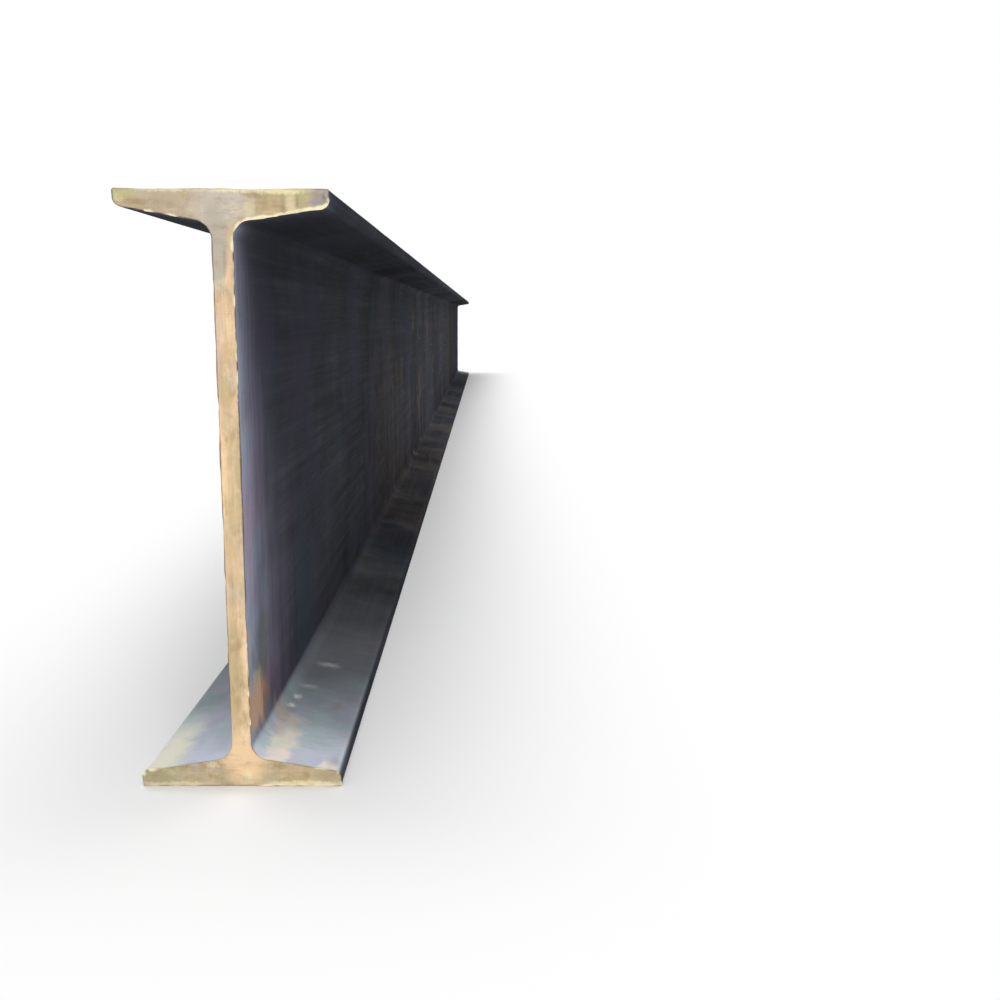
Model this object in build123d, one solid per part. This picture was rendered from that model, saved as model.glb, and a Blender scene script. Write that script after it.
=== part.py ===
"""Hot-rolled steel I-beam with tapered flanges: one piece of stock, cut square at both ends.

Millimetres. +Y runs along the beam and +Z is up. The origin is on the underside of the
bottom flange, in the middle of its width and of the beam's length.
"""

import os

from build123d import *

# Driving dimensions of the rolled section
SECTION_DEPTH = 450.0  # over the two flanges
FLANGE_WIDTH = 154.0
WEB_THICKNESS = 15.5
FLANGE_THICKNESS = 18.0  # halfway between the flange's tip and the web's face
FLANGE_SLOPE_SHARE = 1 / 6  # fall of a flange's inner face over the width that it crosses
ROOT_RADIUS = 13.5  # fillet where the web runs into a flange
TOE_RADIUS = 6.8  # rounding of a flange's tip on its inner side
EDGE_RADIUS = 1.5  # rounding that the rolls leave on a flange's outer edge

# Length of the stock
BEAM_LENGTH = 6000.0


def flange_thickness_at(reach: float) -> float:
    """Thickness of a flange at a distance from the web's middle, without its roundings."""
    half_web = WEB_THICKNESS / 2
    gauge_reach = (half_web + FLANGE_WIDTH / 2) / 2
    return FLANGE_THICKNESS + FLANGE_SLOPE_SHARE * (gauge_reach - reach)


def rolled_section() -> Sketch:
    """The I-shaped outline, x across the flanges and y along the web, about its own middle."""
    half_depth = SECTION_DEPTH / 2
    half_web = WEB_THICKNESS / 2
    half_flange = FLANGE_WIDTH / 2
    with BuildSketch() as section:
        with BuildLine():
            FilletPolyline(
                (0, half_depth),
                (half_flange, half_depth),
                (half_flange, half_depth - flange_thickness_at(half_flange)),
                (half_web, half_depth - flange_thickness_at(half_web)),
                (half_web, 0),
                radius=(EDGE_RADIUS, TOE_RADIUS, ROOT_RADIUS),
            )
            mirror(about=Plane.YZ)
            mirror(about=Plane.XZ)
        make_face()
    return section.sketch


def i_beam() -> Part:
    """The section run along the whole length, standing on its bottom flange."""
    on_the_floor = Plane.XZ * Pos(Y=SECTION_DEPTH / 2)
    return extrude(on_the_floor * rolled_section(), amount=BEAM_LENGTH / 2, both=True)


os.makedirs("parts", exist_ok=True)
export_step(i_beam(), "parts/i_beam.step")
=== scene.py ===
"""Looks of a hot-rolled steel I-beam: mill scale, rough-sawn ends, a pale studio and the camera.

Metres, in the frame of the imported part: +Y runs along the beam, +Z is up, and the floor is at z = 0.
Patches of colour are placed in millimetres.
"""

import logging
import math
from dataclasses import dataclass
from enum import Enum
from functools import reduce

import bmesh
import bpy
from bmesh.types import BMEdge, BMesh, BMFace, BMVert
from bpy.types import ID, Material, Mesh, Node, NodeOutputs, NodeTree, Object, World
from bpy.types import NodeSocket as Socket
from mathutils import Euler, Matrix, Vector, noise
from mathutils.kdtree import KDTree


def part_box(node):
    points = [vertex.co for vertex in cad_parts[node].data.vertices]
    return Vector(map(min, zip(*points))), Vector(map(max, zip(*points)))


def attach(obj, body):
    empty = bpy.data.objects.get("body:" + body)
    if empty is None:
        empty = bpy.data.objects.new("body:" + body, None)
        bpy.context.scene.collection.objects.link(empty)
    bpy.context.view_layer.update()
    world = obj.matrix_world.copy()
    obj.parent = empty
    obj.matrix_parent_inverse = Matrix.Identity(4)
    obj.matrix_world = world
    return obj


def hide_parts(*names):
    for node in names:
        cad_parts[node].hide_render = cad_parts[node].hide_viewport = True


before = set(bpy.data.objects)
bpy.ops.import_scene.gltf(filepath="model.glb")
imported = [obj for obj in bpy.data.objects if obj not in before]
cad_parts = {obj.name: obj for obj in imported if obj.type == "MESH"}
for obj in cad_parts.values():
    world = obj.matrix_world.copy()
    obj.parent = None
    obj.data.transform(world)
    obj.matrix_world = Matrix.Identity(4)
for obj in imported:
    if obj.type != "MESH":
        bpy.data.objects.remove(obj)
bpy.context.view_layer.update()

LOG = logging.getLogger("i_beam_scene")
BEAM_NODE = "i_beam"
BODY = "root"
RIM_ATTRIBUTE = "cut_rim"
BURR_ATTRIBUTE = "saw_burr"
BAKE_MAP = "OFBake"
MILLIMETRE = 0.001
NEAR_CUT = -3000.0
CUT_REACH = 9000.0
SAME_POINT = 1e-6
CUT_SLOT = 1
PATTERN_SHIFT = (3.1, 1.7, 2.3)
WHITE = (1.0, 1.0, 1.0)

Flat = tuple[float, float]
Point = tuple[float, float, float]


class Shade(Enum):
    """Linear colours of the steel, its oxides and what lies on it, and of the painted light and shade on
    it.
    """

    SCALE_DARK = (0.010, 0.011, 0.0145)
    SCALE_MID = (0.028, 0.031, 0.039)
    SCALE_PALE = (0.070, 0.075, 0.088)
    TEMPER_PURPLE = (0.036, 0.030, 0.053)
    TEMPER_BLUE = (0.021, 0.034, 0.047)
    BARE_GREY = (0.130, 0.128, 0.125)
    # FILM shades colour a pale film near the cuts that also carries painted light there.
    FILM_SLATE = (0.300, 0.320, 0.410)
    FILM_PURPLE = (0.310, 0.275, 0.370)
    FILM_LAVENDER = (0.590, 0.620, 0.720)
    FILM_TEAL = (0.540, 0.660, 0.690)
    DUST = (0.240, 0.238, 0.222)
    SPECK = (0.720, 0.700, 0.700)
    RUST_DEEP = (0.090, 0.040, 0.018)
    RUST_BROWN = (0.210, 0.105, 0.045)
    RUST_ORANGE = (0.420, 0.215, 0.085)
    RUST_TAN = (0.480, 0.310, 0.185)
    RUST_PINK = (0.500, 0.315, 0.215)
    RUST_HAZE = (0.090, 0.060, 0.042)
    RUST_ROSE = (0.230, 0.135, 0.115)
    OLIVE_DARK = (0.075, 0.080, 0.060)
    TAUPE = (0.435, 0.345, 0.240)
    TAUPE_PALE = (0.535, 0.455, 0.355)
    KHAKI = (0.525, 0.415, 0.235)
    KHAKI_DEEP = (0.400, 0.300, 0.165)
    PEACH = (0.715, 0.510, 0.305)
    PEACH_DEEP = (0.600, 0.410, 0.225)
    PEACH_PALE = (0.900, 0.640, 0.380)
    PINK = (0.690, 0.500, 0.390)
    LILAC = (0.545, 0.480, 0.408)
    NECK_GREY = (0.465, 0.415, 0.335)
    SAND = (0.570, 0.430, 0.235)
    OLIVE = (0.405, 0.365, 0.220)
    OCHRE = (0.475, 0.460, 0.230)
    LAVENDER = (0.325, 0.293, 0.300)
    CREAM = (0.880, 0.780, 0.500)
    CREAM_YELLOW = (0.830, 0.780, 0.420)
    UMBER = (0.275, 0.170, 0.085)
    # Dark of the painted shade at the cuts' rims, in a pit and beside the foot's tip.
    EDGE_DARK = (0.060, 0.050, 0.045)
    PALE_STONE = (0.820, 0.790, 0.650)
    PALE_ROSE = (0.930, 0.820, 0.730)
    STONE_TAN = (0.560, 0.490, 0.410)


Feed = Socket | float | Point | Shade


def cleared(owner: Material | World) -> NodeTree:
    """Empties the nodes of a material or a surround.

    Args:
        owner: The material or the surround.

    Returns:
        Its node tree.
    """
    owner.use_nodes = True
    owner.node_tree.nodes.clear()
    return owner.node_tree


def finished_mesh(name: str, bm: BMesh) -> Mesh:
    """Turns a bmesh into a mesh and frees it.

    Args:
        name: The mesh's name.
        bm: The bmesh.

    Returns:
        The mesh.
    """
    mesh = bpy.data.meshes.new(name)
    bm.to_mesh(mesh)
    bm.free()
    return mesh


def placed(name: str, data: ID) -> Object:
    """Adds an object to the scene, at the origin.

    Args:
        name: The object's name.
        data: Its mesh, lamp or camera.

    Returns:
        The object.
    """
    made = bpy.data.objects.new(name, data)
    bpy.context.scene.collection.objects.link(made)
    return made


def swell(place: Vector, length: float, octaves: int) -> float:
    """Rough noise about 0 at a point, in swells of a length."""
    return noise.fractal(place / length, 1.0, 2.0, octaves)


class NodeBoard:
    """Adds nodes to one shader tree and links them."""

    def __init__(self, tree: NodeTree) -> None:
        """Keeps the tree that the nodes go in."""
        self.tree = tree

    def feed(self, target: Socket, value: Feed) -> None:
        """Links another node's output to an input, or sets the input's own value.

        Args:
            target: The input.
            value: The output, or else a number, three numbers or a shade.
        """
        if isinstance(value, Shade):
            value = value.value
        if isinstance(value, Socket):
            self.tree.links.new(value, target)
        elif isinstance(value, tuple) and target.type == "RGBA":
            target.default_value = (*value, 1.0)
        else:
            target.default_value = value

    def node(self, kind: str, feeds: dict[str | int, Feed] | None = None, **settings: object) -> Node:
        """Adds one node.

        Args:
            kind: Blender's name of the node type.
            feeds: What its inputs take, by their names or places.
            **settings: The node's own options.

        Returns:
            The new node.
        """
        made = self.tree.nodes.new(kind)
        for name, value in settings.items():
            setattr(made, name, value)
        for name, value in (feeds or {}).items():
            self.feed(made.inputs[name], value)
        return made

    def math(self, operation: str, *values: Feed, clamp: bool = False) -> Socket:
        """The result of a Math node, kept from 0 to 1 where it is clamped."""
        feeds = dict(enumerate(values))
        return self.node("ShaderNodeMath", feeds, operation=operation, use_clamp=clamp).outputs[0]

    def times(self, *values: Feed) -> Socket:
        """Multiplies two values or more."""
        return reduce(lambda product, value: self.math("MULTIPLY", product, value), values)

    def vector(self, operation: str, *values: Feed) -> Socket:
        """The vector that a Vector Math node gives, or the value where it measures a length."""
        made = self.node("ShaderNodeVectorMath", dict(enumerate(values)), operation=operation)
        return made.outputs["Value" if operation == "LENGTH" else "Vector"]

    def split(self, vector: Socket) -> NodeOutputs:
        """The x, y and z of a vector."""
        return self.node("ShaderNodeSeparateXYZ", {"Vector": vector}).outputs

    def span(self, value: Feed, low: Feed, high: Feed, to_low: float = 0.0, to_high: float = 1.0) -> Socket:
        """Turns the stretch from low to high into another, smoothly and clamped."""
        feeds = {"Value": value, "From Min": low, "From Max": high, "To Min": to_low, "To Max": to_high}
        return self.node("ShaderNodeMapRange", feeds, interpolation_type="SMOOTHSTEP").outputs["Result"]

    def cloud(self, place: Socket, scale: Feed, detail: float = 3.0, roughness: float = 0.55) -> Socket:
        """Cloudy noise from 0 to 1, with so many clouds to the metre."""
        feeds = {"Vector": place, "Scale": scale, "Detail": detail, "Roughness": roughness}
        return self.node("ShaderNodeTexNoise", feeds).outputs["Fac"]

    def clouds(
        self,
        place: Socket,
        scale: Feed,
        stretch: Flat,
        to: Flat = (0.0, 1.0),
        detail: float = 3.0,
        roughness: float = 0.55,
    ) -> Socket:
        """Cloudy noise whose stretch of values is turned into another, smoothly and clamped."""
        return self.span(self.cloud(place, scale, detail, roughness), *stretch, *to)

    def mix(self, mask: Feed, under: Feed, over: Feed) -> Socket:
        """Lays one colour over another, as much as the mask says."""
        return self.node("ShaderNodeMix", {0: mask, 6: under, 7: over}, data_type="RGBA").outputs[2]

    def blend(self, mask: Feed, under: Feed, over: Feed) -> Socket:
        """Goes from one number to another as the mask goes from 0 to 1."""
        return self.node("ShaderNodeMix", {0: mask, 2: under, 3: over}, data_type="FLOAT").outputs[0]

    def ramp(self, value: Feed, stops: dict[float, Shade]) -> Socket:
        """Colours a value.

        Args:
            value: What is read, from 0 to 1.
            stops: Shades by their places from 0 to 1.

        Returns:
            The colour.
        """
        made = self.node("ShaderNodeValToRGB", {"Fac": value})
        elements = made.color_ramp.elements
        while len(elements) < len(stops):
            elements.new(1.0)
        for element, (place, shade) in zip(elements, stops.items()):
            element.position = place
            element.color = (*shade.value, 1.0)
        return made.outputs["Color"]

    def group(self, effect: NodeTree, **feeds: Feed) -> NodeOutputs:
        """Places a shared effect and returns its outputs."""
        return self.node("ShaderNodeGroup", feeds, node_tree=effect).outputs


class SocketKind(Enum):
    """Kinds of socket on a shared effect."""

    NUMBER = "NodeSocketFloat"
    VECTOR = "NodeSocketVector"
    COLOUR = "NodeSocketColor"


NUMBER, VECTOR, COLOUR = SocketKind


class SharedEffect(NodeBoard):
    """A node group in the making, with named inputs and outputs."""

    def __init__(self, name: str, inputs: dict[str, SocketKind], outputs: dict[str, SocketKind]) -> None:
        """Makes the group and its sockets.

        Args:
            name: The group's name.
            inputs: The kind of each named input.
            outputs: The kind of each named output.
        """
        super().__init__(bpy.data.node_groups.new(name, "ShaderNodeTree"))
        for side, sockets in (("INPUT", inputs), ("OUTPUT", outputs)):
            for socket, kind in sockets.items():
                self.tree.interface.new_socket(socket, in_out=side, socket_type=kind.value)
        source = self.node("NodeGroupInput").outputs
        self.given = [source[socket] for socket in inputs]

    def give(self, **results: Socket) -> NodeTree:
        """Links the results to the outputs of the same names and returns the group."""
        self.node("NodeGroupOutput", results)
        return self.tree


class SteelEffects:
    """The effects that both steel finishes use, each built once."""

    def __init__(self) -> None:
        """Builds the groups."""
        self.soft_patch = self._soft_patch()
        self.streaks = self._streaks()
        self.rust = self._rust()
        self.grain = self._grain()

    @staticmethod
    def _soft_patch() -> NodeTree:
        """A patch with soft sides: 1 at its centre and 0 past its reach.

        Returns:
            The group.
        """
        inputs = {"Place": VECTOR, "Centre": VECTOR, "Reach": VECTOR, "Core": NUMBER}
        effect = SharedEffect("SoftPatch", inputs, {"Mask": NUMBER})
        place, centre, reach, core = effect.given
        offset = effect.vector("SUBTRACT", place, centre)
        share = effect.vector("LENGTH", effect.vector("DIVIDE", offset, reach))
        return effect.give(Mask=effect.span(share, core, 1.0, 1.0, 0.0))

    @staticmethod
    def _streaks() -> NodeTree:
        """Long marks: noise drawn out along the axes whose repeats to the metre are few.

        Returns:
            The group.
        """
        outputs = {"Value": NUMBER, "Lines": NUMBER}
        effect = SharedEffect("DrawnStreaks", {"Place": VECTOR, "Repeats": VECTOR}, outputs)
        drawn = effect.vector("MULTIPLY", *effect.given)
        fine = effect.cloud(drawn, 4.3, detail=2.0)
        value = effect.blend(0.4, effect.cloud(drawn, 1.0), fine)
        return effect.give(Value=effect.span(value, 0.30, 0.70), Lines=effect.span(fine, 0.62, 0.72))

    @staticmethod
    def _rust() -> NodeTree:
        """Rust that blooms in ragged patches, deep brown in their middles and orange at their rims.

        Returns:
            The group.
        """
        inputs = {"Place": VECTOR, "Scale": NUMBER, "Cover": NUMBER}
        effect = SharedEffect("RustBloom", inputs, {"Mask": NUMBER, "Tint": COLOUR})
        place, scale, cover = effect.given
        patches = effect.cloud(place, scale, detail=7.0, roughness=0.62)
        crumbs = effect.cloud(place, effect.times(scale, 9.0))
        field = effect.blend(0.30, patches, crumbs)
        edge = effect.math("SUBTRACT", 0.80, effect.times(cover, 0.55))
        mask = effect.span(field, effect.math("SUBTRACT", edge, 0.05), effect.math("ADD", edge, 0.05))
        depth = effect.cloud(place, effect.times(scale, 3.1), detail=5.0)
        stops = {0.30: Shade.RUST_DEEP, 0.50: Shade.RUST_BROWN, 0.72: Shade.RUST_ORANGE}
        return effect.give(Mask=mask, Tint=effect.ramp(depth, stops))

    @staticmethod
    def _grain() -> NodeTree:
        """Fine tooth of the surface, with small pits.

        Returns:
            The group.
        """
        effect = SharedEffect("SteelGrain", {"Place": VECTOR, "Scale": NUMBER}, {"Height": NUMBER})
        place, scale = effect.given
        tooth = effect.cloud(place, scale, detail=5.0, roughness=0.6)
        pits = effect.clouds(place, effect.times(scale, 0.45), (0.64, 0.74), detail=2.0)
        return effect.give(Height=effect.math("SUBTRACT", tooth, effect.times(pits, 0.8)))


@dataclass(frozen=True)
class Patch:
    """A place on the steel that has a colour of its own, with its centre and its reach in millimetres."""

    name: str
    centre: Point
    reach: Point
    shade: Shade
    strength: float
    core: float = 0.2


def spot(name: str, at: Flat, reach: Flat, shade: Shade, strength: float, core: float = 0.2) -> Patch:
    """A patch across and up the near cut, which the far cut shows more faintly."""
    return Patch(name, (at[0], NEAR_CUT, at[1]), (reach[0], CUT_REACH, reach[1]), shade, strength, core)


@dataclass(frozen=True)
class SteelFinish:
    """What the two finishes of the beam share."""

    effects: SteelEffects
    half_length: float
    gloss: float = 0.3
    grain_scale: float = 900.0
    relief_shown: float = 0.45
    relief_height: float = 0.0005


class SteelSurface(NodeBoard):
    """A finish in the making: its material, what it reads at a point, and the colour so far."""

    colour: Feed

    def __init__(self, name: str, finish: SteelFinish) -> None:
        """Makes the material, and reads the point, the way it faces and its distance from the nearer end.

        Args:
            name: The material's name.
            finish: The finish.
        """
        self.material = bpy.data.materials.new(name)
        super().__init__(cleared(self.material))
        self.finish = finish
        self.shader = self.node("ShaderNodeBsdfPrincipled", {"Specular IOR Level": finish.gloss})
        self.node("ShaderNodeOutputMaterial", {"Surface": self.shader.outputs["BSDF"]})
        coordinates = self.node("ShaderNodeTexCoord").outputs
        self.place = coordinates["Object"]
        self.shifted = self.vector("ADD", self.place, PATTERN_SHIFT)
        self.x, along, self.height = self.split(self.place)
        self.across = self.math("ABSOLUTE", self.x)
        self.from_end = self.math("SUBTRACT", finish.half_length, self.math("ABSOLUTE", along))
        _, _, facing_up = self.split(coordinates["Normal"])
        self.up = self.span(facing_up, 0.5, 0.95)
        self.sloped_up = self.span(facing_up, 0.10, 0.60)
        self.down = self.span(facing_up, -0.95, -0.5, 1.0, 0.0)

    def lay(self, mask: Feed, shade: Feed) -> None:
        """Lays a shade over the colour so far, as much as the mask says."""
        self.colour = self.mix(mask, self.colour, shade)

    def streaks(self, place: Socket, repeats: Point) -> NodeOutputs:
        """Long marks, by their repeats to the metre along each axis."""
        return self.group(self.finish.effects.streaks, Place=place, Repeats=repeats)

    def attribute(self, name: str) -> Socket:
        """One of the mesh's own numbers."""
        return self.node("ShaderNodeAttribute", attribute_name=name).outputs["Fac"]

    def ragged(
        self, scale: float, amount: Point, drawn: Point = (1.0, 1.0, 1.0), detail: float = 5.0
    ) -> Socket:
        """Shakes the point, so that what reads it gets ragged sides.

        Args:
            scale: Ripples to the metre.
            amount: How far it is shaken along each axis.
            drawn: The share of the ripples that each axis keeps, less than 1 where they are drawn out.
            detail: Octaves of the ripples.

        Returns:
            The shaken point.
        """
        read = self.vector("MULTIPLY", self.place, drawn)
        feeds = {"Vector": read, "Scale": scale, "Detail": detail, "Roughness": 0.62}
        ripples = self.node("ShaderNodeTexNoise", feeds).outputs["Color"]
        shake = self.vector("SUBTRACT", ripples, (0.5, 0.5, 0.5))
        return self.vector("ADD", self.place, self.vector("MULTIPLY", shake, amount))

    def lay_patches(self, place: Socket, patches: tuple[Patch, ...]) -> None:
        """Lays patches over the colour so far, one after the other.

        Args:
            place: The point that is read, already made ragged.
            patches: The patches.
        """
        effect = self.finish.effects.soft_patch
        for patch in patches:
            centre = tuple(size * MILLIMETRE for size in patch.centre)
            reach = tuple(size * MILLIMETRE for size in patch.reach)
            feeds = {"Place": place, "Centre": centre, "Reach": reach, "Core": patch.core}
            made = self.node("ShaderNodeGroup", feeds, node_tree=effect, label=patch.name)
            self.lay(self.times(made.outputs["Mask"], patch.strength), patch.shade)

    def grain(self) -> Socket:
        """The fine tooth of the surface."""
        effect = self.finish.effects.grain
        return self.group(effect, Place=self.place, Scale=self.finish.grain_scale)["Height"]

    def close(self, rough: Socket, relief: Socket) -> Material:
        """Hands the colour, the roughness and the relief to the shader.

        Args:
            rough: The roughness.
            relief: The relief, from 0 to 1.

        Returns:
            The finished material.
        """
        finish = self.finish
        feeds = {"Height": relief, "Strength": finish.relief_shown, "Distance": finish.relief_height}
        bump = self.node("ShaderNodeBump", feeds).outputs["Normal"]
        for name, value in (("Base Color", self.colour), ("Roughness", rough), ("Normal", bump)):
            self.feed(self.shader.inputs[name], value)
        return self.material


@dataclass(frozen=True)
class MillScaleFinish(SteelFinish):
    """Blue-black rolling scale with rust, dust and scratches, a film with painted light near the cuts, and
    painted shade.
    """

    gloss: float = 0.01
    grain_scale: float = 520.0
    relief_shown: float = 0.5
    relief_height: float = 0.0006
    low_film_and_light_reach: float = 0.075
    high_film_and_light_reach: float = 0.022
    left_film_and_light_reach: float = 0.195
    right_film_and_light_reach: float = 0.120
    film_and_light_fades_from: float = 0.300
    film_and_light_fades_by: float = 0.430

    patches: tuple[Patch, ...] = (
        Patch("pale tip", (-66, -2985, 13), (28, 120, 30), Shade.PALE_STONE, 0.95),
        Patch("left film by the cut", (-38, -2988, 18), (18, 34, 30), Shade.FILM_LAVENDER, 0.65),
        Patch("right film by the cut", (43, -2990, 18), (14, 30, 30), Shade.FILM_LAVENDER, 0.70),
        Patch("rose smear", (14, -2903, 22), (10, 26, 30), Shade.RUST_TAN, 0.40),
        Patch("tan smear", (23.5, -2930, 20), (15, 40, 30), Shade.STONE_TAN, 0.65, 0.3),
        Patch("cream smear", (25.5, -2964, 20), (17, 42, 30), Shade.PALE_STONE, 0.80, 0.3),
        Patch("white smear at the cut", (25, -2992, 20), (15, 30, 30), Shade.PALE_ROSE, 0.95, 0.3),
        Patch("rust on the far web", (-8, 2940, 90), (20, 110, 50), Shade.RUST_BROWN, 0.45),
        Patch("rust on the far flange", (50, 2940, 13), (30, 110, 30), Shade.RUST_TAN, 0.60),
    )
    stains: tuple[Patch, ...] = (
        Patch("haze round the rust", (8, -2962, 62), (20, 70, 40), Shade.RUST_HAZE, 0.40),
        Patch("olive haze", (8, -2955, 98), (20, 55, 36), Shade.OLIVE_DARK, 0.55),
        Patch("yellow stain", (8, -2976, 78), (20, 34, 12), Shade.OCHRE, 0.40),
        Patch("rust", (8, -2978, 56), (20, 48, 27), Shade.RUST_PINK, 0.95, 0.4),
        Patch("rose stain", (8, -2940, 56), (20, 22, 24), Shade.RUST_ROSE, 0.75),
    )
    marks: tuple[Patch, ...] = (
        Patch("white chip", (66, -2997, 14.5), (11, 18, 20), Shade.PALE_ROSE, 0.90, 0.3),
        Patch("near speck", (17.6, -2883, 22.5), (4.5, 8.5, 12), Shade.SPECK, 0.80, 0.0),
        Patch("far speck", (19, -2861, 22.2), (5, 10, 12), Shade.SPECK, 0.60, 0.0),
        Patch("near scratch", (24, -2830, 21), (13, 8, 12), Shade.SPECK, 0.22, 0.0),
        Patch("far scratch", (33, -2764, 19.5), (17, 11, 12), Shade.SPECK, 0.26, 0.0),
        Patch("brown spot", (55, -2870, 16), (8, 15, 12), Shade.RUST_BROWN, 0.30, 0.0),
        # Painted shadow beside the foot's right tip.
        Patch("painted shadow by the tip", (69, -2985, 13), (8, 20, 12), Shade.EDGE_DARK, 0.25, 0.0),
    )

    def build(self) -> Material:
        """Makes the material, from the scale up to the marks on it.

        Returns:
            The material.
        """
        steel = SteelSurface("mill_scale", self)
        tone = self._tone(steel)
        self._oxide(steel, tone)
        flaked = self._flakes(steel)
        self._weather(steel)
        self._film_and_painted_light(steel)
        dust = steel.times(steel.up, steel.clouds(steel.shifted, 3.5, (0.40, 0.75), (0.0, 0.28), 6.0))
        steel.lay(dust, Shade.DUST)
        steel.lay_patches(steel.ragged(60.0, (0.022, 0.030, 0.020), detail=2.0), self.patches)
        steel.lay_patches(steel.ragged(60.0, (0.0, 0.050, 0.060), (1.0, 1.0, 0.6)), self.stains)
        rust = self._rust(steel)
        scratches = steel.streaks(steel.shifted, (150.0, 2.5, 150.0))["Lines"]
        away = steel.span(steel.from_end, 0.1, 0.6, 0.03, 0.16)
        steel.lay(steel.times(scratches, away), Shade.BARE_GREY)
        steel.lay_patches(steel.ragged(240.0, (0.010, 0.016, 0.008)), self.marks)
        # Painted shade: a dark rim on the rolled faces right at the cut, fainter on faces that look up.
        rim = steel.span(steel.attribute(RIM_ATTRIBUTE), 0.35, 0.95)
        steel.lay(steel.times(rim, steel.blend(steel.up, 0.75, 0.20)), Shade.EDGE_DARK)

        rough = steel.span(tone, 0.2, 0.8, 0.72, 0.90)
        rough = steel.blend(steel.math("MAXIMUM", rust, dust), rough, 0.93)
        relief = steel.math("SUBTRACT", steel.grain(), steel.times(flaked, 0.9))
        relief = steel.math("ADD", relief, steel.times(rust, 0.7))
        return steel.close(rough, relief)

    @staticmethod
    def _tone(steel: SteelSurface) -> Socket:
        """How pale the scale is: large clouds, smaller mottling, streaks along the rolling, and painted
        shade towards the ends.

        Args:
            steel: The surface in the making.

        Returns:
            The tone, from 0 to 1.
        """
        rolled = steel.streaks(steel.place, (75.0, 1.3, 75.0))["Value"]
        mottle = steel.cloud(steel.place, 9.0, detail=6.0, roughness=0.6)
        large = steel.clouds(steel.place, 1.3, (0.35, 0.65))
        tone = steel.blend(0.30, steel.blend(0.3, mottle, rolled), large)
        # Painted shade: darker within 0.8 m of the ends, fading out by 2.6 m, and a little paler beyond.
        return steel.math("SUBTRACT", tone, steel.span(steel.from_end, 0.8, 2.6, 0.21, -0.06))

    @staticmethod
    def _oxide(steel: SteelSurface, tone: Socket) -> None:
        """Colours the scale, with purple and blue tempers in places.

        Args:
            steel: The surface in the making.
            tone: How pale the scale is.
        """
        stops = {0.25: Shade.SCALE_DARK, 0.50: Shade.SCALE_MID, 0.80: Shade.SCALE_PALE}
        steel.colour = steel.ramp(tone, stops)
        steel.lay(steel.clouds(steel.place, 5.0, (0.48, 0.70), (0.0, 0.5)), Shade.TEMPER_PURPLE)
        steel.lay(steel.clouds(steel.shifted, 6.5, (0.50, 0.72), (0.0, 0.6)), Shade.TEMPER_BLUE)

    @staticmethod
    def _flakes(steel: SteelSurface) -> Socket:
        """Lays bare spots where scale flaked off and a haze of rust, both fainter near the cuts.

        Args:
            steel: The surface in the making.

        Returns:
            The bare spots.
        """
        flaked = steel.clouds(steel.shifted, 34.0, (0.62, 0.66), detail=8.0, roughness=0.68)
        flaked = steel.times(flaked, steel.span(steel.from_end, 0.3, 2.0, 0.10, 1.0))
        steel.lay(steel.times(flaked, 0.35), Shade.BARE_GREY)
        haze = steel.clouds(steel.shifted, 1.5, (0.48, 0.66), (0.0, 0.50), 8.0, 0.62)
        away = steel.span(steel.from_end, 0.6, 2.0, 0.25, 1.0)
        broken = steel.clouds(steel.place, 42.0, (0.38, 0.60), (0.25, 1.0), 5.0)
        steel.lay(steel.times(haze, away, broken), Shade.RUST_HAZE)
        return flaked

    @staticmethod
    def _weather(steel: SteelSurface) -> None:
        """Lays what storage outdoors leaves away from the cuts: shed scale, runs of water and scuffs.

        Args:
            steel: The surface in the making.
        """
        away = steel.span(steel.from_end, 0.6, 2.0)
        upright = steel.math("SUBTRACT", away, steel.math("MAXIMUM", steel.up, steel.down), clamp=True)
        shed = steel.clouds(steel.shifted, 5.0, (0.575, 0.605), (0.0, 0.50), 10.0, 0.68)
        stops = {0.35: Shade.RUST_DEEP, 0.50: Shade.RUST_HAZE, 0.68: Shade.BARE_GREY}
        tint = steel.ramp(steel.cloud(steel.place, 28.0, detail=5.0), stops)
        steel.lay(steel.times(shed, away), tint)
        runs = steel.span(steel.streaks(steel.shifted, (4.0, 26.0, 0.9))["Value"], 0.58, 1.0, 0.0, 0.20)
        broken = steel.clouds(steel.place, 4.0, (0.36, 0.62), detail=4.0)
        steel.lay(steel.times(runs, upright, broken), Shade.DUST)
        drips = steel.span(steel.streaks(steel.place, (4.0, 17.0, 0.8))["Value"], 0.62, 1.0, 0.0, 0.32)
        steel.lay(steel.times(drips, upright), Shade.RUST_HAZE)
        scuffs = steel.streaks(steel.place, (22.0, 0.9, 22.0))["Lines"]
        steel.lay(steel.times(scuffs, away, 0.22), Shade.BARE_GREY)

    def _film_and_painted_light(self, steel: SteelSurface) -> None:
        """Lays a pale film with painted light near the cuts: short and in runs on upright faces, longer on
        the faces that look up.

        Args:
            steel: The surface in the making.
        """
        # Painted light: the film is palest at the cut and fades with the distance from it.
        wavy = steel.ragged(7.0, (0.05, 0.05, 0.05))
        runs = steel.span(steel.streaks(wavy, (6.0, 48.0, 2.0))["Value"], 0.0, 1.0, 0.82, 1.15)
        fades_by = self.film_and_light_fades_by
        # Painted shade: it reaches less far high on the web under the top flange, and is faint on faces
        # that look down.
        reach = steel.span(steel.height, 0.03, fades_by, -self.low_film_and_light_reach, -self.high_film_and_light_reach)
        kept = steel.span(steel.height, self.film_and_light_fades_from, fades_by, 1.0, 0.75)
        side = steel.math("EXPONENT", steel.math("DIVIDE", steel.from_end, reach))
        side = steel.times(side, runs, kept, steel.blend(steel.down, 1.0, 0.2))

        # Painted light: on faces that look up it reaches further on the left, low down, than elsewhere.
        on_left = steel.span(steel.x, -0.010, 0.010, 1.0, 0.0)
        low_left = steel.times(on_left, steel.span(steel.height, 0.10, 0.20, 1.0, 0.0))
        reach = steel.blend(low_left, -self.right_film_and_light_reach, -self.left_film_and_light_reach)
        top = steel.math("EXPONENT", steel.math("DIVIDE", steel.from_end, reach))

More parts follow.
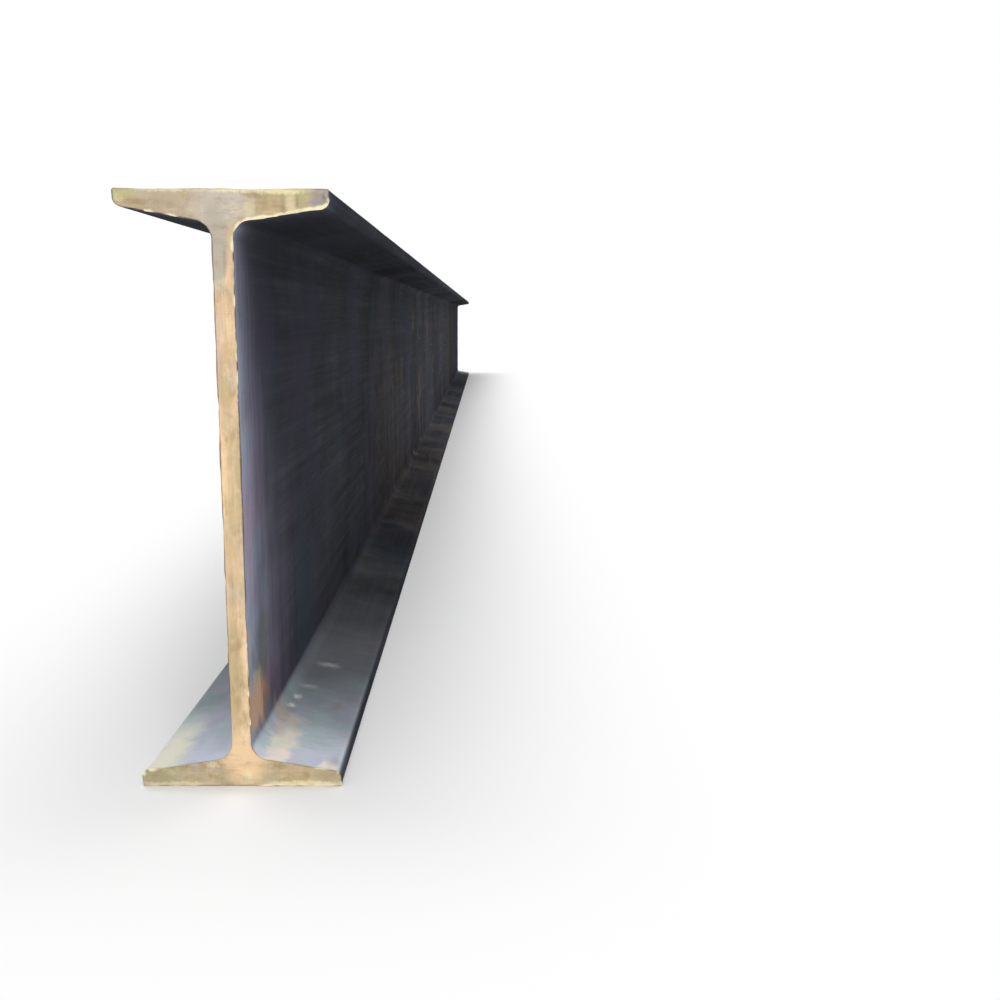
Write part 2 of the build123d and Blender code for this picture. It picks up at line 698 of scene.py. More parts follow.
        cloud = steel.clouds(steel.place, 16.0, (0.25, 0.70), (0.90, 1.30), 5.0, 0.6)
        film = steel.math("MULTIPLY", steel.blend(steel.sloped_up, side, top), cloud, clamp=True)
        wiped = steel.span(steel.streaks(steel.place, (22.0, 190.0, 22.0))["Value"], 0.35, 1.0, 0.0, 0.13)
        broken = steel.clouds(steel.shifted, 14.0, (0.40, 0.60), (0.1, 1.0), 4.0)
        thinned = steel.math("SUBTRACT", 1.0, steel.times(steel.up, wiped, broken))
        film = steel.times(film, thinned, steel.span(steel.across, 0.0735, 0.0760, 1.0, 0.15))
        # Painted reflection: faces that look up get paler lavender and teal, upright faces slate and
        # purple.
        purple = steel.clouds(steel.shifted, 9.0, (0.42, 0.62))
        slate = steel.mix(purple, Shade.FILM_SLATE, Shade.FILM_PURPLE)
        teal = steel.clouds(steel.shifted, 22.0, (0.38, 0.62))
        pale = steel.mix(teal, Shade.FILM_LAVENDER, Shade.FILM_TEAL)
        steel.lay(film, steel.mix(steel.sloped_up, slate, pale))

    def _rust(self, steel: SteelSurface) -> Socket:
        """Lays sparse flecks of rust, fewer near the cuts, more low down and at the flanges' tips.

        Args:
            steel: The surface in the making.

        Returns:
            Where the rust is.
        """
        near_end = steel.span(steel.from_end, 1.0, 3.0, -0.16, -0.02)
        low = steel.span(steel.height, 0.0, 0.12, 0.02, 0.0)
        tip = steel.span(steel.across, 0.060, 0.077, 0.0, 0.03)
        cover = steel.math("ADD", steel.math("ADD", near_end, low), steel.math("ADD", tip, 0.26))
        rust = steel.group(self.effects.rust, Place=steel.place, Scale=9.0, Cover=cover)
        steel.lay(steel.times(rust["Mask"], 0.45), rust["Tint"])
        return rust["Mask"]


@dataclass(frozen=True)
class SawnEndFinish(SteelFinish):
    """The cut face: tan oxide over bright steel, streaked by the saw, with painted highlights on the burr
    and edges and a painted dark rim.
    """

    foot_to_web: Flat = (0.019, 0.049)
    web_to_top: Flat = (0.388, 0.423)

    patches: tuple[Patch, ...] = (
        spot("tan side", (-44, 436), (36, 18), Shade.TAUPE, 0.80),
        spot("pale crown", (-2, 440), (29, 24), Shade.LILAC, 1.0, 0.4),
        spot("khaki side", (38, 436), (28, 18), Shade.KHAKI_DEEP, 0.60),
        spot("grey tip", (73, 443), (15, 16), Shade.LAVENDER, 1.0, 0.4),
        spot("grey neck", (-5, 410), (11, 40), Shade.NECK_GREY, 1.0, 0.5),
        spot("light neck", (7, 398), (5.5, 36), Shade.PEACH, 0.90, 0.3),
        spot("pink web", (-6, 345), (7, 28), Shade.PINK, 0.75, 0.3),
        spot("ochre web", (-2, 306), (6, 22), Shade.SAND, 0.70, 0.3),
        spot("bright strip", (-8, 245), (7.5, 66), Shade.PEACH_PALE, 1.0, 0.4),
        spot("sandy strip", (8, 240), (8, 62), Shade.SAND, 1.0, 0.4),
        spot("sandy web", (-4, 92), (10, 62), Shade.SAND, 1.0, 0.4),
        spot("cream strip", (8, 92), (6, 60), Shade.PEACH_PALE, 0.95, 0.3),
        spot("warm foot", (3, 22), (24, 32), Shade.PEACH_PALE, 0.90, 0.3),
        spot("olive tip", (-66, 8), (30, 14), Shade.OLIVE, 0.95),
        spot("khaki foot", (53, 10), (34, 16), Shade.KHAKI, 0.85),
        spot("tan tip", (69, 9), (16, 12), Shade.TAUPE, 0.60),
        spot("tan web", (2, 205), (13, 85), Shade.SAND, 0.40),
    )
    marks: tuple[Patch, ...] = (
        spot("ochre tip", (-69, 446.5), (15, 6), Shade.OCHRE, 0.85, 0.3),
        spot("ochre edge", (57, 445.5), (12, 6), Shade.OCHRE, 0.75, 0.3),
        # Painted highlights along the top edge of the top flange.
        spot("cream top", (25, 449.5), (50, 3.4), Shade.CREAM, 0.75, 0.4),
        spot("yellow top", (46, 449), (18, 4), Shade.CREAM_YELLOW, 0.90, 0.4),
        spot("pale top", (-35, 449.8), (36, 2.6), Shade.CREAM, 0.60, 0.4),
        # Painted shade in a small pit.
        spot("pit in the tip", (73, 444.5), (2.4, 4.2), Shade.EDGE_DARK, 0.50),
        spot("olive streak", (57, 440), (6, 10), Shade.OLIVE, 0.45),
        spot("brown smear", (-55, 440.5), (20, 2.5), Shade.UMBER, 0.30),
        spot("brown crown", (22, 446), (11, 4), Shade.UMBER, 0.35),
        spot("light streak", (20, 437), (7, 12), Shade.CREAM, 0.35),
        spot("pale streak", (49, 440), (5, 12), Shade.CREAM, 0.45),
        spot("khaki streak", (36, 440), (10, 12), Shade.KHAKI, 0.65),
        spot("dark streak", (31.5, 440), (3.2, 10), Shade.KHAKI_DEEP, 0.60),
        spot("thin dark streak", (43.5, 440), (2.6, 11), Shade.KHAKI_DEEP, 0.60),
        spot("brown line", (54, 441), (1.8, 8), Shade.UMBER, 0.40),
        spot("neck line", (1, 398), (2.2, 14), Shade.UMBER, 0.28),
        spot("web spot", (0, 114), (4.5, 8), Shade.UMBER, 0.45),
        spot("low web spot", (-1, 68), (4, 10), Shade.UMBER, 0.25),
        spot("pink mark", (-6, 46), (3, 10), Shade.PINK, 0.80),
        spot("glow at the foot", (4, 42), (4, 12), Shade.CREAM, 0.50),
        spot("cream blotch", (4, 9), (6, 6), Shade.CREAM, 0.60),
        spot("cream dab", (-22, 17), (6, 3.5), Shade.CREAM, 0.60),
        # Painted highlights along the lower edge of the foot.
        spot("cream edge of the foot", (46, 1.5), (42, 4), Shade.CREAM, 0.80, 0.3),
        spot("pale edge of the foot", (-50, 1.2), (40, 3.4), Shade.CREAM, 0.60, 0.3),
        spot("brown dab", (50, 9), (4, 4), Shade.UMBER, 0.35),
    )

    def build(self) -> Material:
        """Makes the material, from the oxide up to the painted highlight on the burr.

        Returns:
            The material.
        """
        steel = SteelSurface("sawn_end", self)
        over_foot = steel.span(steel.height, *self.foot_to_web)
        in_web = steel.times(over_foot, steel.span(steel.height, *self.web_to_top, 1.0, 0.0))
        sawn = steel.streaks(steel.place, (420.0, 1.0, 20.0))
        mottle = self._drawn_cloud(steel, steel.place, 75.0, 0.5, in_web)
        tone = steel.blend(0.2, steel.span(mottle, 0.28, 0.72), sawn["Value"])
        self._oxide(steel, tone, in_web)
        steel.lay_patches(steel.ragged(110.0, (0.0045, 0.0, 0.014)), self.patches)
        steel.lay_patches(steel.ragged(240.0, (0.003, 0.0, 0.006)), self.marks)
        self._dirt(steel, in_web)
        steel.lay(steel.times(sawn["Lines"], 0.16), Shade.CREAM)

        # Painted shade: a thin dark line along the cut's rim, fainter on the foot and along the top edge.
        line = steel.times(
            steel.span(steel.attribute(RIM_ATTRIBUTE), 0.60, 0.96),
            steel.span(mottle, 0.35, 0.55, 0.45, 0.95),
            steel.span(steel.height, 0.030, 0.060, 0.45, 1.0),
            steel.span(steel.height, 0.4482, 0.4492, 1.0, 0.30),
        )
        steel.lay(line, Shade.EDGE_DARK)
        # Painted highlight: cream on the burr, where it would catch the light.
        burr = steel.span(steel.attribute(BURR_ATTRIBUTE), 0.22, 0.62)
        steel.lay(steel.times(burr, steel.span(mottle, 0.25, 0.50, 0.60, 1.0)), Shade.CREAM)
        relief = steel.math("ADD", steel.grain(), steel.times(sawn["Value"], 1.2))
        return steel.close(steel.span(tone, 0.2, 0.8, 0.82, 0.58), relief)

    @staticmethod
    def _drawn_cloud(
        steel: SteelSurface, place: Socket, scale: float, draw: float, in_web: Socket
    ) -> Socket:
        """Cloudy noise, drawn out along the flanges and down the web.

        Args:
            steel: The surface in the making.
            place: The point that is read.
            scale: Clouds to the metre.
            draw: The share of the clouds that is kept along the way they are drawn out.
            in_web: 1 at the heights of the web.

        Returns:
            The noise's value.
        """
        ways = ((draw, 1.0, 1.0), (1.0, 1.0, draw))
        drawn = [steel.vector("MULTIPLY", place, way) for way in ways]
        return steel.blend(in_web, *(steel.cloud(point, scale, 5.0, 0.6) for point in drawn))

    @staticmethod
    def _oxide(steel: SteelSurface, tone: Socket, in_web: Socket) -> None:
        """Colours the flanges taupe and khaki and the web in peach bands, and lays clouds of tints.

        Args:
            steel: The surface in the making.
            tone: How pale the face is.
            in_web: 1 at the heights of the web.
        """
        web_stops = {0.2: Shade.PEACH_DEEP, 0.5: Shade.PEACH, 0.85: Shade.PEACH_PALE}
        flange_stops = {0.2: Shade.KHAKI_DEEP, 0.5: Shade.KHAKI, 0.85: Shade.TAUPE_PALE}
        bands = steel.streaks(steel.place, (130.0, 1.0, 7.0))["Value"]
        web = steel.ramp(steel.blend(0.5, tone, bands), web_stops)
        steel.colour = steel.mix(in_web, steel.ramp(tone, flange_stops), web)
        tints = ((Shade.PINK, 38.0, 1.3), (Shade.LILAC, 30.0, 4.7), (Shade.OLIVE, 44.0, 8.1))
        for shade, scale, offset in tints:
            place = steel.vector("ADD", steel.shifted, (offset, offset, offset))
            steel.lay(steel.clouds(place, scale, (0.50, 0.70), (0.0, 0.55), 4.0), shade)

    def _dirt(self, steel: SteelSurface, in_web: Socket) -> None:
        """Lays smears of dirt and small spots of rust.

        Args:
            steel: The surface in the making.
            in_web: 1 at the heights of the web.
        """
        ways = ((28.0, 1.0, 110.0), (190.0, 1.0, 22.0))
        smears = [steel.streaks(steel.shifted, way)["Value"] for way in ways]
        smeared = steel.blend(in_web, *(steel.span(smear, 0.55, 1.0, 0.0, 0.24) for smear in smears))
        steel.lay(smeared, Shade.UMBER)
        steel.lay(steel.clouds(steel.shifted, 48.0, (0.50, 0.72), (0.0, 0.25), 5.0), Shade.KHAKI_DEEP)
        blotches = self._drawn_cloud(steel, steel.shifted, 150.0, 0.45, in_web)
        steel.lay(steel.span(blotches, 0.52, 0.68, 0.0, 0.32), Shade.UMBER)
        lights = self._drawn_cloud(steel, steel.place, 130.0, 0.45, in_web)
        steel.lay(steel.span(lights, 0.52, 0.68, 0.0, 0.26), Shade.CREAM)
        rust = steel.group(self.effects.rust, Place=steel.place, Scale=70.0, Cover=0.33)["Mask"]
        steel.lay(steel.times(rust, 0.35), Shade.UMBER)


@dataclass
class RolledSection:
    """Sizes of the I-shaped section, in metres."""

    depth: float
    width: float
    web: float = 0.0155
    flange: float = 0.018
    slope_share: float = 1 / 6
    root_radius: float = 0.0135
    toe_radius: float = 0.0068
    edge_radius: float = 0.0015
    arc_segments: int = 8

    def flange_at(self, reach: float) -> float:
        """Thickness of a flange at a distance from the web's middle, without its roundings."""
        gauge_reach = (self.web + self.width) / 4
        return self.flange + self.slope_share * (gauge_reach - reach)

    def tangent(self, radius: float) -> float:
        """How far a rounding between a sloped face and an upright one reaches along each."""
        turn = math.pi / 2 - math.atan(self.slope_share)
        return radius * math.tan(turn / 2)

    def draw(self, bm: BMesh) -> None:
        """Draws the section as flat faces at y = 0, about the middle of its depth.

        A quarter is drawn by its corners, its corners are rounded, and it is mirrored twice.

        Args:
            bm: The empty mesh that takes it.
        """
        half_depth, half_width, half_web = self.depth / 2, self.width / 2, self.web / 2
        corners = [
            (0.0, half_depth),
            (half_width, half_depth),
            (half_width, half_depth - self.flange_at(half_width)),
            (half_web, half_depth - self.flange_at(half_web)),
            (half_web, 0.0),
            (0.0, 0.0),
        ]
        verts = [bm.verts.new((x, 0.0, z)) for x, z in corners]
        bm.faces.new(verts)
        _, outer, toe, root, _, _ = verts
        offsets = (self.edge_radius, self.tangent(self.toe_radius), self.tangent(self.root_radius))
        for vert, offset in zip((outer, toe, root), offsets):
            bmesh.ops.bevel(
                bm,
                geom=[vert],
                offset=offset,
                offset_type="OFFSET",
                segments=self.arc_segments,
                profile=0.5,
                affect="VERTICES",
                material=-1,
            )
        for axis in ("X", "Z"):
            whole = bm.verts[:] + bm.edges[:] + bm.faces[:]
            bmesh.ops.mirror(bm, geom=whole, axis=axis, merge_dist=SAME_POINT)


@dataclass(frozen=True)
class BurrStretch:
    """A stretch of the cut's rim where the saw left a burr, between two corners of the cut face."""

    name: str
    low: Flat
    high: Flat
    height: float
    overhang: float = 0.0
    drift: Flat = (0.0, 0.0)
    ramp: float = 0.001

    def holds(self, x: float, z: float) -> bool:
        """Whether a point of the cut face lies in the stretch."""
        return self.low[0] <= x <= self.high[0] and self.low[1] <= z <= self.high[1]

    def drawn_by(self, x: float) -> Vector:
        """How far the saw drew the rim across and up, which grows towards the flange's tip.

        Args:
            x: The point's place across the beam.

        Returns:
            The way that the rim was drawn.
        """
        start = min(abs(self.low[0]), abs(self.high[0]))
        share = min(1.0, max(0.0, (abs(x) - start) / self.ramp))
        return Vector((self.drift[0], 0.0, self.drift[1])) * share


@dataclass
class RolledBeam:
    """The beam: its section run along its length, with slightly wavy faces and rough-sawn ends."""

    section: RolledSection
    length: float
    cell: float = 0.003
    cell_snap: float = 0.00001
    weld: float = 0.00003
    ring_width: float = 0.0007
    ring_count: int = 2
    first_step: float = 0.0008
    step_growth: float = 1.25
    longest_step: float = 0.07
    wave_depth: float = 0.0003
    wave_length: float = 0.15
    nick_depth: float = 0.0008
    nick_length: float = 0.011
    nick_reach: float = 0.009
    nick_from: float = 0.05
    flare_depth: float = 0.0007
    flare_length: float = 0.034
    flare_reach: float = 0.022
    relief_depth: float = 0.0004
    relief_length: float = 1 / 38
    rim_reach: float = 0.0036
    burr_length: float = 0.008
    burr_rough: float = 0.7
    burr_mean: float = 0.65
    burr_least: float = 0.1
    full_burr: float = 0.0009
    drift_rough: float = 0.3
    drift_mean: float = 0.9
    underside: float = -0.9
    map_margin: float = 0.006
    map_end_band: float = 0.17
    map_end_gain: float = 0.5
    map_end_reach: float = 0.25
    smooth_angle: float = math.radians(45.0)

    burrs: tuple[BurrStretch, ...] = (
        BurrStretch("under the top flange", (0.006, 0.405), (0.080, 0.442), 0.0010, 0.8),
        BurrStretch("left of the top flange", (-0.056, 0.415), (-0.026, 0.436), 0.0006, 0.6),
        BurrStretch("foot on the right", (0.012, -0.001), (0.080, 0.004), 0.0010),
        BurrStretch("foot on the left", (-0.078, -0.001), (-0.030, 0.004), 0.0005),
        BurrStretch("top of the foot on the left", (-0.060, 0.012), (-0.014, 0.034), 0.0004),
        BurrStretch("left tip of the foot", (-0.080, -0.001), (-0.072, 0.004), 0.0005),
        BurrStretch(
            "left toe of foot", (-0.080, 0.004), (-0.063, 0.016), 0.0006, 0.0, (-0.0004, 0.0017), 0.009
        ),
        BurrStretch(
            "right toe of the top", (0.040, 0.400), (0.080, 0.4445), 0.0011, 0.3, (0.0, -0.0011), 0.032
        ),
        BurrStretch("right of the web", (0.004, 0.300), (0.010, 0.405), 0.0006, 0.5),
        BurrStretch("low right of the web", (0.004, 0.050), (0.010, 0.130), 0.0006, 0.5),
        BurrStretch("right tip of the foot", (0.055, 0.010), (0.080, 0.020), 0.0006, 0.3),
    )

    def steps(self) -> list[float]:
        """Steps along the length, short at the ends and longer in the middle.

        Returns:
            The steps from one end to the other.
        """
        half, step = [], self.first_step
        while sum(half) < self.length / 2:
            half.append(step)
            step = min(step * self.step_growth, self.longest_step)
        fit = self.length / 2 / sum(half)
        half = [step * fit for step in half]
        return half + half[::-1]

    def build(self) -> Object:
        """Makes the beam's mesh.

        Returns:
            The object, at the origin.
        """
        bm = bmesh.new()
        self.section.draw(bm)
        self._divide(bm)
        bmesh.ops.translate(bm, verts=bm.verts[:], vec=(0.0, -self.length / 2, self.section.depth / 2))
        self._run(bm)
        bmesh.ops.recalc_face_normals(bm, faces=bm.faces[:])
        self._lay_map(bm)
        self._roughen(bm)
        mesh = finished_mesh("rolled_beam", bm)
        mesh.set_sharp_from_angle(angle=self.smooth_angle)
        return placed("rolled_beam", mesh)

    def _divide(self, bm: BMesh) -> None:
        """Rings the flat section with narrow strips and cuts it into small cells.

        Args:
            bm: The mesh that holds the flat section.
        """
        inner = bm.faces[:]
        for _ in range(self.ring_count):
            rings = bmesh.ops.inset_region(
                bm, faces=inner, thickness=self.ring_width, use_boundary=True, use_even_offset=True
            )["faces"]
            ringed = set(rings)
            inner = [face for face in inner if face.is_valid and face not in ringed]
        ways = ((Vector((1, 0, 0)), self.section.width), (Vector((0, 0, 1)), self.section.depth))
        for axis, size in ways:
            count = int(size / 2 / self.cell)
            for index in range(-count, count + 1):
                whole = bm.verts[:] + bm.edges[:] + bm.faces[:]
                place = axis * (index * self.cell)
                bmesh.ops.bisect_plane(bm, geom=whole, dist=self.cell_snap, plane_co=place, plane_no=axis)

    def _run(self, bm: BMesh) -> None:
        """Runs the flat section along the length and gives its two ends their material.

        Args:
            bm: The mesh that holds the divided section at the near end.
        """
        near = bm.faces[:]
        outline = [edge for edge in bm.edges if edge.is_boundary]
        ring: list[BMVert] = []
        for step in self.steps():
            grown = bmesh.ops.extrude_edge_only(bm, edges=outline)["geom"]
            ring = [part for part in grown if isinstance(part, BMVert)]
            on_ring = set(ring)
            edges = [part for part in grown if isinstance(part, BMEdge)]
            outline = [edge for edge in edges if on_ring.issuperset(edge.verts)]
            bmesh.ops.translate(bm, verts=ring, vec=(0.0, step, 0.0))
        copied = bmesh.ops.duplicate(bm, geom=near)["geom"]
        far = [part for part in copied if isinstance(part, BMFace)]
        far_points = [part for part in copied if isinstance(part, BMVert)]
        bmesh.ops.translate(bm, verts=far_points, vec=(0.0, self.length, 0.0))
        for face in bm.faces:
            face.smooth = True
        for face in near + far:
            face.material_index = CUT_SLOT
        bmesh.ops.remove_doubles(bm, verts=ring + far_points, dist=self.weld)

    @staticmethod
    def _near_rim(bm: BMesh) -> set[BMEdge]:
        """The edges round the near cut."""
        rims = (edge for edge in bm.edges if len({face.material_index for face in edge.link_faces}) == 2)
        return {edge for edge in rims if edge.verts[0].co.y < 0.0}

    @staticmethod
    def _outline_key(vert: BMVert) -> Flat:
        """Names the place of a point in the section."""
        return round(vert.co.x, 6), round(vert.co.z, 6)

    def _way_round(self, bm: BMesh) -> dict[Flat, float]:
        """Measures how far round the section each point of its outline lies.

        Args:
            bm: The finished beam, still straight and sharp.

        Returns:
            The share of the way from the foot's middle, by the point's place in the section.
        """
        rim = self._near_rim(bm)
        points = (vert for edge in rim for vert in edge.verts)
        start = min(points, key=lambda vert: vert.co.z + abs(vert.co.x))
        way, travelled, here, came_by = {}, 0.0, start, None
        while not way or here is not start:
            way[self._outline_key(here)] = travelled
            onward = [edge for edge in here.link_edges if edge in rim and edge is not came_by]
            came_by = max(onward, key=lambda edge: edge.other_vert(here).co.x)
            travelled += came_by.calc_length()
            here = came_by.other_vert(here)
        return {key: gone / travelled for key, gone in way.items()}

    def _along_map(self, y: float) -> float:
        """Where a point along the length lies on the map, which is wider near the ends.

        Args:
            y: The point's place along the beam.

        Returns:
            Its share of the map's width.
        """
        half = self.length / 2
        from_end = half - abs(y)
        gain = self.map_end_gain * (1.0 - math.exp(-from_end / self.map_end_reach))
        share = (from_end + gain) / (half + self.map_end_gain) / 2
        return share if y < 0.0 else 1.0 - share

    def _lay_map(self, bm: BMesh) -> None:
        """Unrolls the rolled faces into one strip of a map, with a band below it for the two ends.

        Args:
            bm: The finished beam, still straight and sharp.
        """
        layer = bm.loops.layers.uv.new(BAKE_MAP)
        way = self._way_round(bm)
        margin, band = self.map_margin, self.map_end_band
        for face in bm.faces:
            corners = [(loop, loop.vert.co) for loop in face.loops]
            if face.material_index == CUT_SLOT:
                for loop, place in corners:
                    far = place.y > 0.0
                    across = place.x / self.section.width * (1.0 if far else -1.0)
                    u = far * 0.5 + margin + place.z / self.section.depth * (0.5 - 2 * margin)
                    loop[layer].uv = (u, margin + (0.5 + across) * (band - 2 * margin))
                continue
            shares = [way[self._outline_key(loop.vert)] for loop, _ in corners]
            wraps = max(shares) - min(shares) > 0.5
            for (loop, place), share in zip(corners, shares):
                share += wraps and share < 0.5
                u = margin + self._along_map(place.y) * (1.0 - 2 * margin)
                loop[layer].uv = (u, band + share * (1.0 - band - margin))

    def _rim_tree(self, bm: BMesh) -> KDTree:
        """Finds the outline of the section.

        Args:
            bm: The finished beam.

        Returns:
            A tree of the outline's points on the near end.
        """
        points = {vert for edge in self._near_rim(bm) for vert in edge.verts}
        tree = KDTree(len(points))
        for index, vert in enumerate(points):
            tree.insert((vert.co.x, 0.0, vert.co.z), index)
        tree.balance()
        return tree

    def _roughen(self, bm: BMesh) -> None:
        """Moves the points a little: rolled waves, nicked rims, the saw's relief and its burr.

        Args:
            bm: The finished beam, still straight and sharp.
        """
        rim_layer = bm.verts.layers.float.new(RIM_ATTRIBUTE)
        burr_layer = bm.verts.layers.float.new(BURR_ATTRIBUTE)
        rim_tree = self._rim_tree(bm)
        bm.normal_update()
        moves: list[tuple[BMVert, Vector]] = []
        for vert in bm.verts:
            place = vert.co.copy()
            from_end = self.length / 2 - abs(place.y)
            on_cut = from_end < SAME_POINT
            from_rim = rim_tree.find((place.x, 0.0, place.z))[2] if on_cut else from_end
            rim = max(0.0, 1.0 - from_rim / self.rim_reach)
            vert[rim_layer] = rim
            move = Vector()
            burr, drawn = self._burr(vert, place) if rim > 0.0 else (0.0, move)
            if not on_cut or from_rim < SAME_POINT:
                move = self._side_move(vert, place, from_end) + drawn * rim**2
            if on_cut:
                vert[burr_layer] = rim * min(1.0, burr / self.full_burr)
                inward = -math.copysign(1.0, place.y)
                sunk = self.relief_depth * (0.5 + 0.5 * swell(place, self.relief_length, 4))
                move.y += inward * (sunk * (1.0 - rim) - burr * rim)
            moves.append((vert, move))
        for vert, move in moves:
            vert.co += move

    def _side_move(self, vert: BMVert, place: Vector, from_end: float) -> Vector:
        """How a point of a rolled face moves: long waves, and a ragged, nicked stretch close to the cut.

        The face that stands on the floor only sinks.

        Args:
            vert: The point.
            place: Where it was drawn.
            from_end: Its distance from the nearer end.

        Returns:
            The move, in the plane of the section.
        """
        outward = self._outward(vert)
        wave = self.wave_depth * (0.5 + 0.5 * swell(place, self.wave_length, 3))
        nick = self.nick_depth * max(0.0, swell(place, self.nick_length, 3) - self.nick_from)
        flare = self.flare_depth * swell(place, self.flare_length, 2)
        if outward.z < self.underside and place.z < self.section.flange:
            flare = abs(flare)
        nick *= max(0.0, 1.0 - from_end / self.nick_reach)
        flare *= max(0.0, 1.0 - from_end / self.flare_reach)
        return -outward * (wave + nick + flare)

    @staticmethod
    def _outward(vert: BMVert) -> Vector:
        """The way out of the section at a point of its outline."""
        return Vector((vert.normal.x, 0.0, vert.normal.z)).normalized()

    def _burr(self, vert: BMVert, place: Vector) -> tuple[float, Vector]:
        """The saw's burr at a point near the rim.

        Args:
            vert: The point.
            place: Where it was drawn.

        Returns:
            The burr's height and how far it is drawn over the rim, both nothing away from its stretches.
        """
        found = [burr for burr in self.burrs if burr.holds(place.x, place.z)]
        if not found:
            return 0.0, Vector()
        burr = max(found, key=lambda stretch: stretch.height)
        rough = swell(place, self.burr_length, 3)
        height = burr.height * max(self.burr_least, self.burr_mean + self.burr_rough * rough)
        hang = self._outward(vert) * height * burr.overhang
        return height, hang + burr.drawn_by(place.x) * (self.drift_mean + self.drift_rough * rough)

    def dress(self, beam: Object, scale: Material, cut: Material) -> None:
        """Gives the beam its finishes and ties it to the frame.

        Args:
            beam: The beam's object.
            scale: The finish of the rolled faces.
            cut: The finish of the sawn ends.
        """
        beam.data.materials.append(scale)
        beam.data.materials.append(cut)
        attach(beam, BODY)
        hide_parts(BEAM_NODE)


@dataclass
class PhotoCamera:
    """The camera in front of the near end."""

    focal_px: float = 1068.0
    image_px: float = 1000.0
    sensor: float = 36.0
    nearest: float = 0.02
    farthest: float = 200.0
    right_of_middle: float = 0.189
    before_end: float = 0.785
    above_floor: float = 0.3616
    pitch: float = math.radians(9.75)
    yaw: float = math.radians(0.75)
    roll: float = math.radians(0.3)

    def build(self, near_end: float) -> Object:
        """Makes the camera and hands it to the scene.

        Args:
            near_end: Where the near end lies along Y.

        Returns:
            The camera.
        """
        data = bpy.data.cameras.new("photo_camera")
        data.sensor_width = self.sensor
        data.lens = self.focal_px / self.image_px * self.sensor
        data.clip_start = self.nearest
        data.clip_end = self.farthest
        camera = placed("photo_camera", data)
        camera.location = (self.right_of_middle, near_end - self.before_end, self.above_floor)
        turn = Euler((math.pi / 2 - self.pitch, 0.0, -self.yaw)).to_matrix()
        camera.rotation_euler = (turn @ Euler((0.0, 0.0, self.roll)).to_matrix()).to_euler()
        bpy.context.scene.camera = camera
        return camera


@dataclass(frozen=True)
class SoftLamp:
    """A soft lamp that faces a point."""

    name: str
    place: Point
    faces: Point
    size: Flat
    watts: float

    def build(self) -> Object:
        """Makes the lamp.

        Returns:
            The lamp.
        """
        data = bpy.data.lights.new(self.name, "AREA")
        data.shape = "RECTANGLE"
        data.size, data.size_y = self.size
        data.energy = self.watts
        lamp = placed(self.name, data)
        lamp.location = self.place
        way = Vector(self.faces) - Vector(self.place)
        lamp.rotation_euler = way.to_track_quat("-Z", "Y").to_euler()
        return lamp


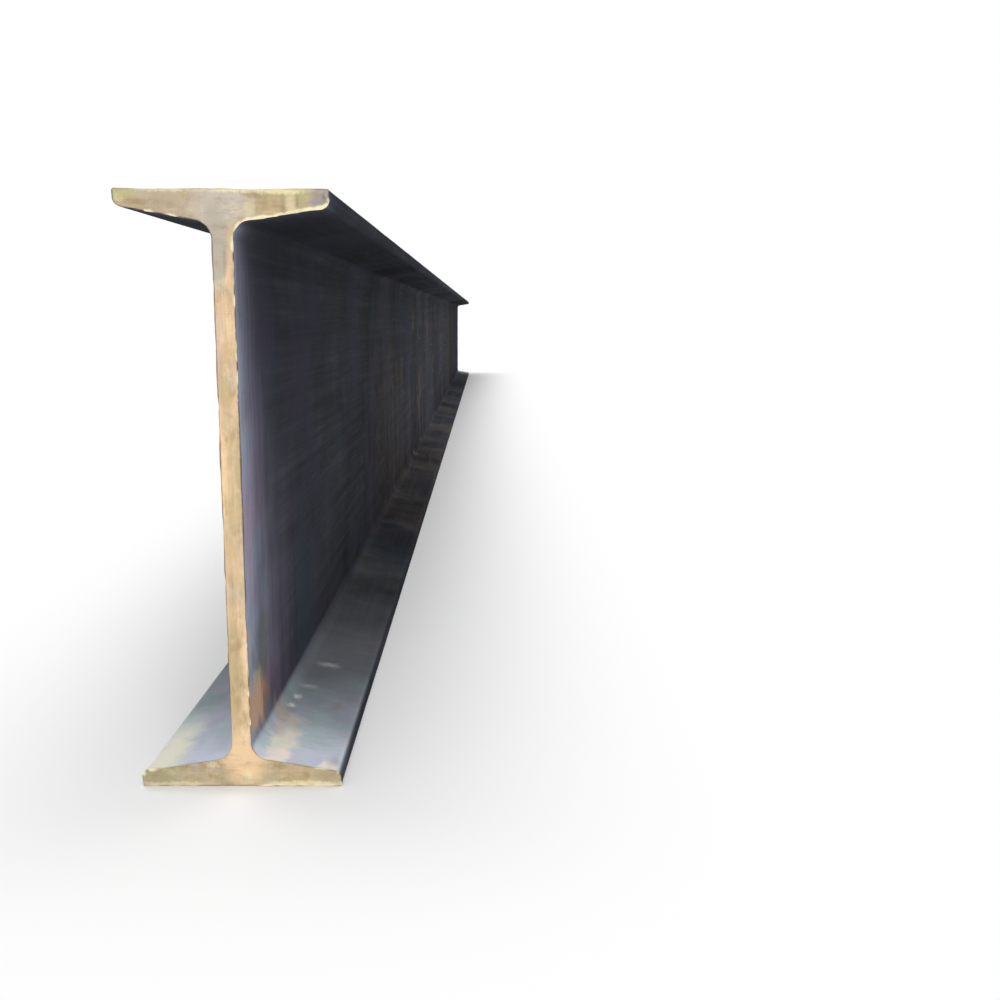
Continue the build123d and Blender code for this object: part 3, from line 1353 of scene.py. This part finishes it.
@dataclass
class Studio:
    """A pale floor, a white surround and soft lamps."""

    half_length: float
    floor_radius: float = 60.0
    floor_segments: int = 96
    floor_shade: float = 0.90
    white_from: float = 0.04
    white_by: float = 0.42
    ambient: float = 0.55

    lamps: tuple[SoftLamp, ...] = (
        SoftLamp("front_lamp", (0.5, -5.7, 1.9), (0.0, -3.0, 0.2), (2.6, 2.6), 55.0),
        SoftLamp("long_top_lamp", (-0.6, -0.5, 4.2), (0.0, -0.5, 0.0), (3.0, 8.0), 150.0),
    )

    def build(self) -> None:
        """Makes the floor, the surround and the lamps, and sets how colours are shown."""
        self._floor()
        self._surround()
        for lamp in self.lamps:
            lamp.build()
        bpy.context.scene.view_settings.view_transform = "Standard"

    @staticmethod
    def _shown(board: NodeBoard) -> Socket:
        """Tells the rays that show or mirror what they meet from those that light it.

        Args:
            board: The board of the floor or the surround.

        Returns:
            1 for the first kind and 0 for the second.
        """
        rays = board.node("ShaderNodeLightPath").outputs
        shown = board.math("MAXIMUM", rays["Is Camera Ray"], rays["Is Glossy Ray"])
        return board.math("MAXIMUM", shown, rays["Is Transmission Ray"])

    def _floor(self) -> None:
        """Makes a wide round floor that turns white away from the beam."""
        bm = bmesh.new()
        bmesh.ops.create_circle(bm, cap_ends=True, segments=self.floor_segments, radius=self.floor_radius)
        floor = placed("studio_floor", finished_mesh("studio_floor", bm))
        material = bpy.data.materials.new("pale_floor")
        floor.data.materials.append(material)
        board = NodeBoard(cleared(material))
        across, along, _ = board.split(board.node("ShaderNodeTexCoord").outputs["Object"])
        past_end = board.math("SUBTRACT", board.math("ABSOLUTE", along), self.half_length)
        past_end = board.math("MAXIMUM", past_end, 0.0)
        squares = board.math("ADD", board.times(across, across), board.times(past_end, past_end))
        away = board.math("SQRT", squares)
        white = board.times(self._shown(board), board.span(away, self.white_from, self.white_by))
        shade = self.floor_shade
        matt = board.node("ShaderNodeBsdfDiffuse", {"Color": (shade, shade, shade)}).outputs["BSDF"]
        glow = board.node("ShaderNodeEmission", {"Color": WHITE, "Strength": 1.0}).outputs["Emission"]
        surface = board.node("ShaderNodeMixShader", {0: white, 1: matt, 2: glow}).outputs["Shader"]
        board.node("ShaderNodeOutputMaterial", {"Surface": surface})

    def _surround(self) -> None:
        """Makes a surround that is white where it is shown or mirrored, and a softer white as light."""
        world = bpy.data.worlds.new("studio_surround")
        bpy.context.scene.world = world
        board = NodeBoard(cleared(world))
        strength = board.blend(self._shown(board), self.ambient, 1.0)
        background = board.node("ShaderNodeBackground", {"Color": WHITE, "Strength": strength})
        board.node("ShaderNodeOutputWorld", {"Surface": background.outputs["Background"]})


def main() -> None:
    """Builds the beam, its finishes, the studio and the camera."""
    logging.basicConfig(level=logging.INFO, format="%(name)s: %(message)s")
    low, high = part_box(BEAM_NODE)
    size = high - low
    half_length = size.y / 2
    effects = SteelEffects()
    scale = MillScaleFinish(effects, half_length).build()
    cut = SawnEndFinish(effects, half_length).build()

    maker = RolledBeam(RolledSection(depth=size.z, width=size.x), length=size.y)
    beam = maker.build()
    maker.dress(beam, scale, cut)
    LOG.info("%s: %d points, %d faces", beam.name, len(beam.data.vertices), len(beam.data.polygons))
    LOG.info("%s: burrs %s", beam.name, ", ".join(burr.name for burr in maker.burrs))

    Studio(half_length).build()
    camera = PhotoCamera().build(low.y)
    LOG.info("%s at %s", camera.name, tuple(round(value, 3) for value in camera.location))


if __name__ == "__main__":
    main()
